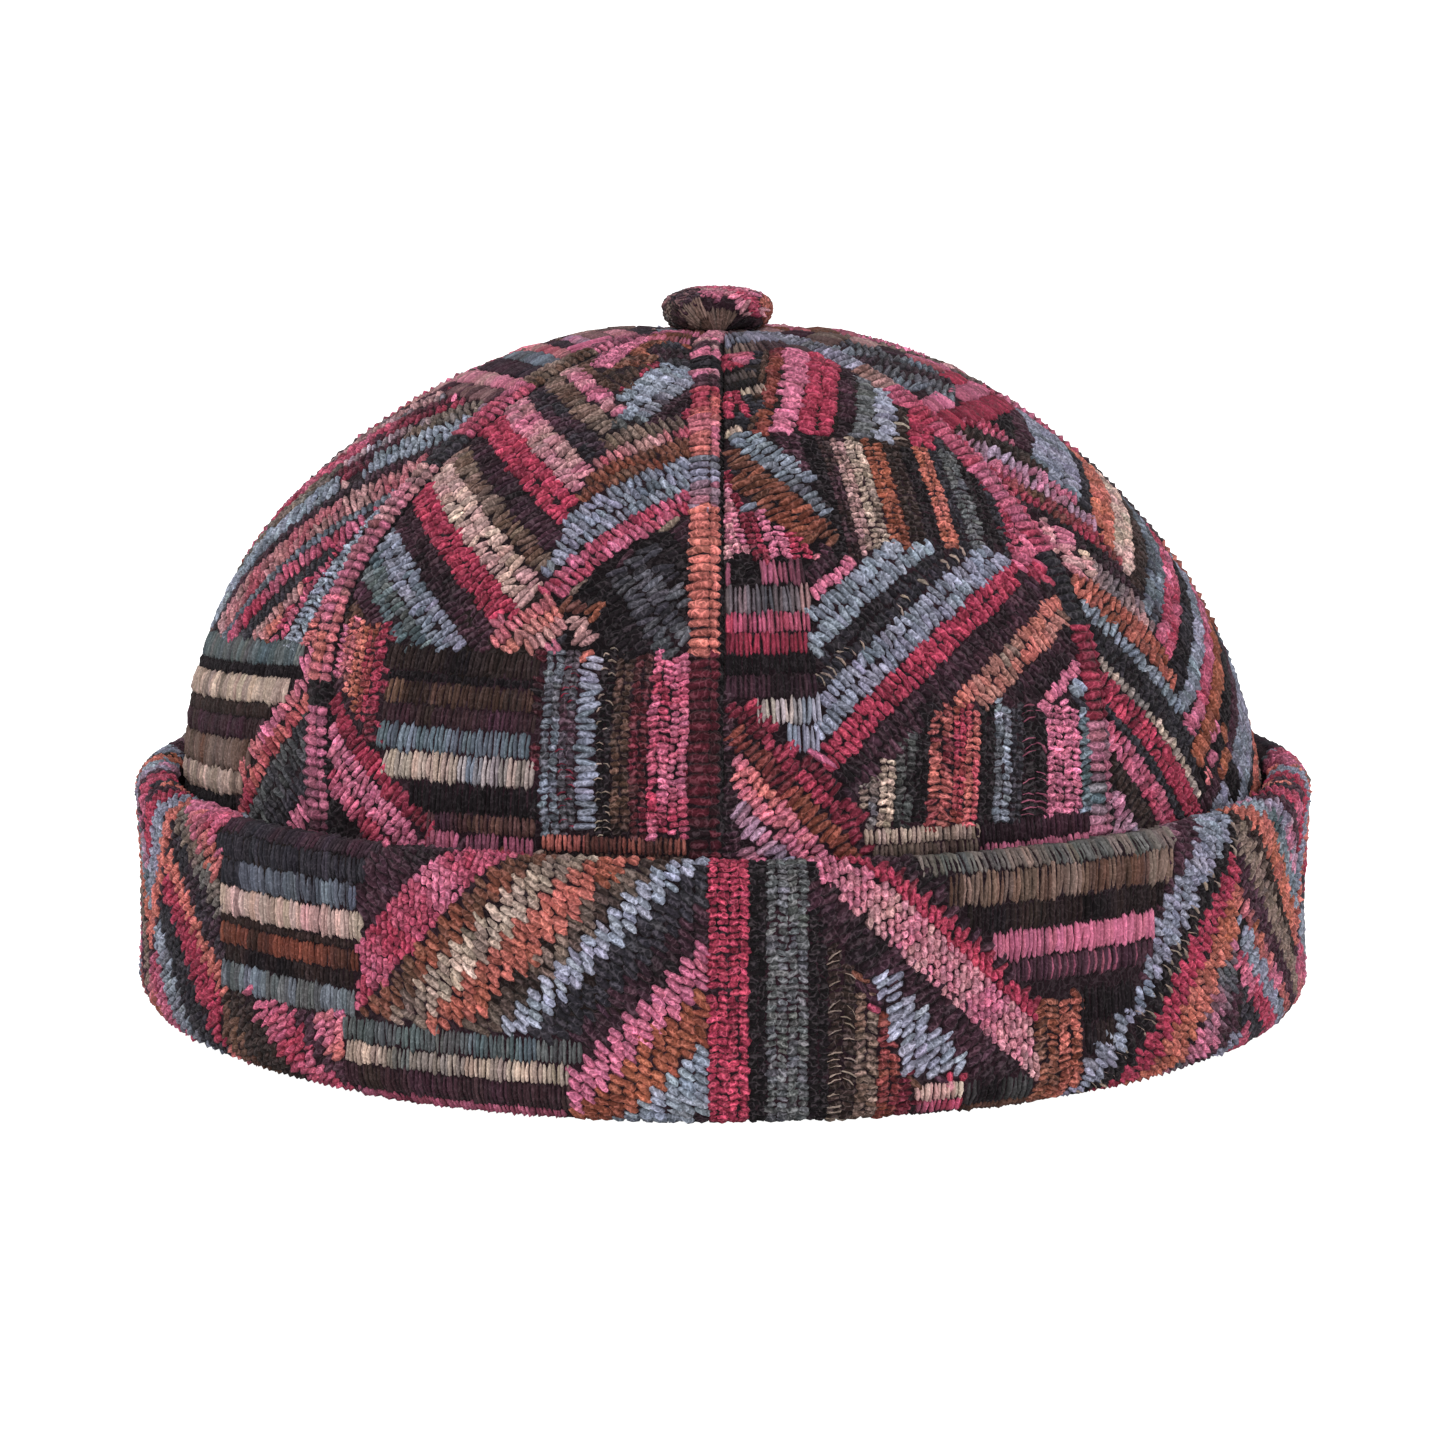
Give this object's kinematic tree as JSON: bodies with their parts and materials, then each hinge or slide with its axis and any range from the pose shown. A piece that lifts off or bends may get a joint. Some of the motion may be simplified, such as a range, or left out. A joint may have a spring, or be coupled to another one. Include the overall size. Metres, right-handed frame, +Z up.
{
  "type": "docker beanie",
  "caption": "Brimless docker beanie: round gored crown in a patchwork of striped woven cloth, a turned-up cuff and a covered button on top.",
  "frame": {"origin": "centre of the cuff at the level of its lower fold, which the hat rests on", "axes": "+Z up through the crown, front towards -Y, +X to the right hand of someone who looks at the front"},
  "size_m": [0.2, 0.2, 0.1199],
  "materials": {
    "crown_cloth": "thick woven patchwork of striped yarns, slightly fuzzy, matt",
    "cuff_cloth": "the same thick woven patchwork, doubled and turned up, matt",
    "button_cloth": "the same cloth stretched over a flattened button, matt"
  },
  "bodies": {
    "root": {"crown_panel_1": "crown_cloth", "crown_panel_2": "crown_cloth", "crown_panel_3": "crown_cloth", "crown_panel_4": "crown_cloth", "crown_panel_5": "crown_cloth", "crown_panel_6": "crown_cloth", "crown_panel_7": "crown_cloth", "crown_panel_8": "crown_cloth", "cuff": "cuff_cloth", "top_button": "button_cloth"}
  },
  "joints": []
}
